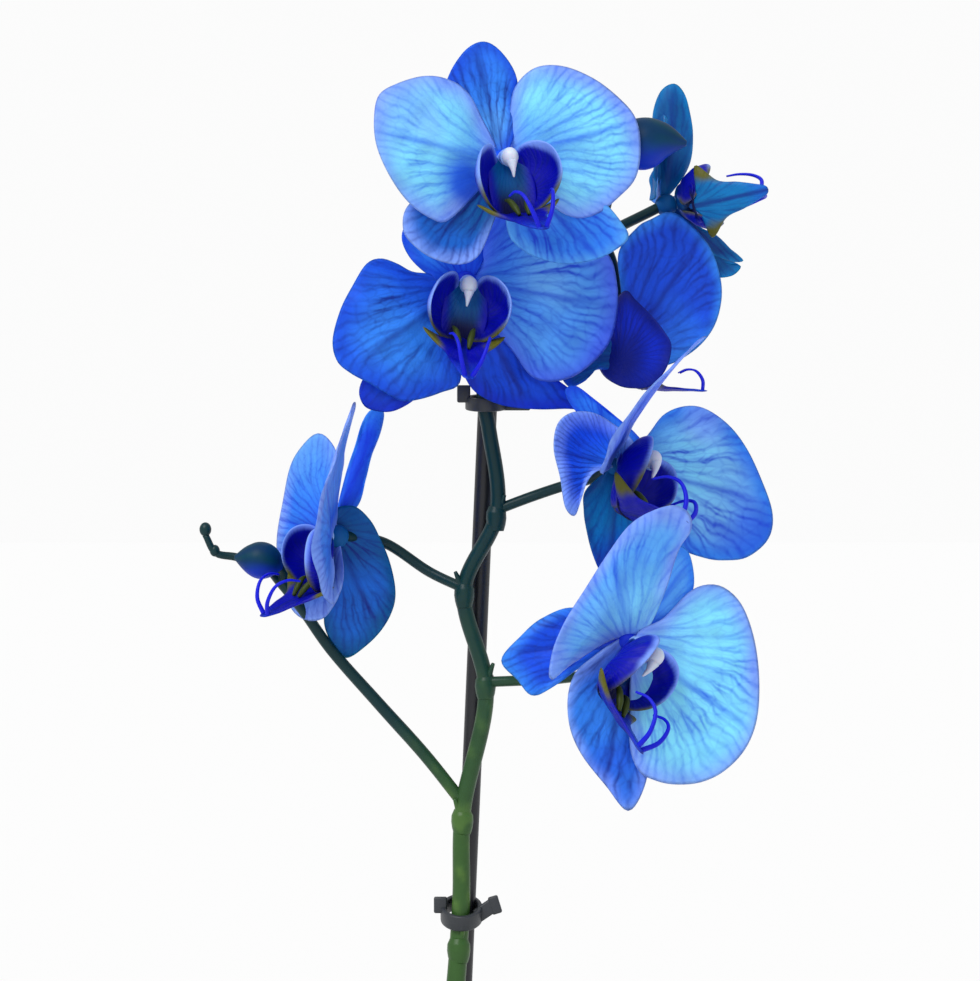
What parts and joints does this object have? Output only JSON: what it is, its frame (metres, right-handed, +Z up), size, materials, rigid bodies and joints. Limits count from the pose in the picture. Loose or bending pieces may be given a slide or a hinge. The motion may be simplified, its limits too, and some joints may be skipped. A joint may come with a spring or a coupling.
{
  "type": "potted moth orchid",
  "caption": "Blue moth orchid with arching flower spray, buds, staked stem and broad leaves, growing in bark in a plain round white vase.",
  "frame": {"origin": "centre of the vase's flat bottom", "axes": "+Z up along the stem, -Y the side that the flowers face, +X to the viewer's right"},
  "size_m": [0.3137, 0.1524, 0.5999],
  "materials": {
    "glazed_white": "plain white glaze",
    "bark": "rough pine bark chips",
    "crown": "living green stem and silvery green roots",
    "leaf": "thick living leaf with a soft sheen",
    "stem": "living stem, green below and dark teal above",
    "stake": "black plastic-coated rod",
    "clip": "charcoal moulded plastic",
    "bud": "smooth living bud, teal with a blue underside",
    "tepals": "living petals, light blue with darker veins and lilac edges",
    "lip": "living lip, deep ultramarine with lilac and olive edges",
    "column": "smooth white cap on a pale blue column"
  },
  "bodies": {
    "root": {"vase": "glazed_white", "bark": "bark", "crown": "crown", "leaf_1": "leaf", "leaf_2": "leaf", "leaf_3": "leaf", "leaf_4": "leaf", "leaf_5": "leaf", "stem": "stem", "stake": "stake", "clip_lower": "clip", "clip_upper": "clip", "bud_top": "bud", "bud_side": "bud", "flower_a_tepals": "tepals", "flower_a_lip": "lip", "flower_a_column": "column", "flower_b_tepals": "tepals", "flower_b_lip": "lip", "flower_b_column": "column", "flower_c_tepals": "tepals", "flower_c_lip": "lip", "flower_c_column": "column", "flower_d_tepals": "tepals", "flower_d_lip": "lip", "flower_d_column": "column", "flower_e_tepals": "tepals", "flower_e_lip": "lip", "flower_e_column": "column", "flower_f_tepals": "tepals", "flower_f_lip": "lip", "flower_f_column": "column", "flower_g_tepals": "tepals", "flower_g_lip": "lip", "flower_g_column": "column"}
  },
  "joints": []
}
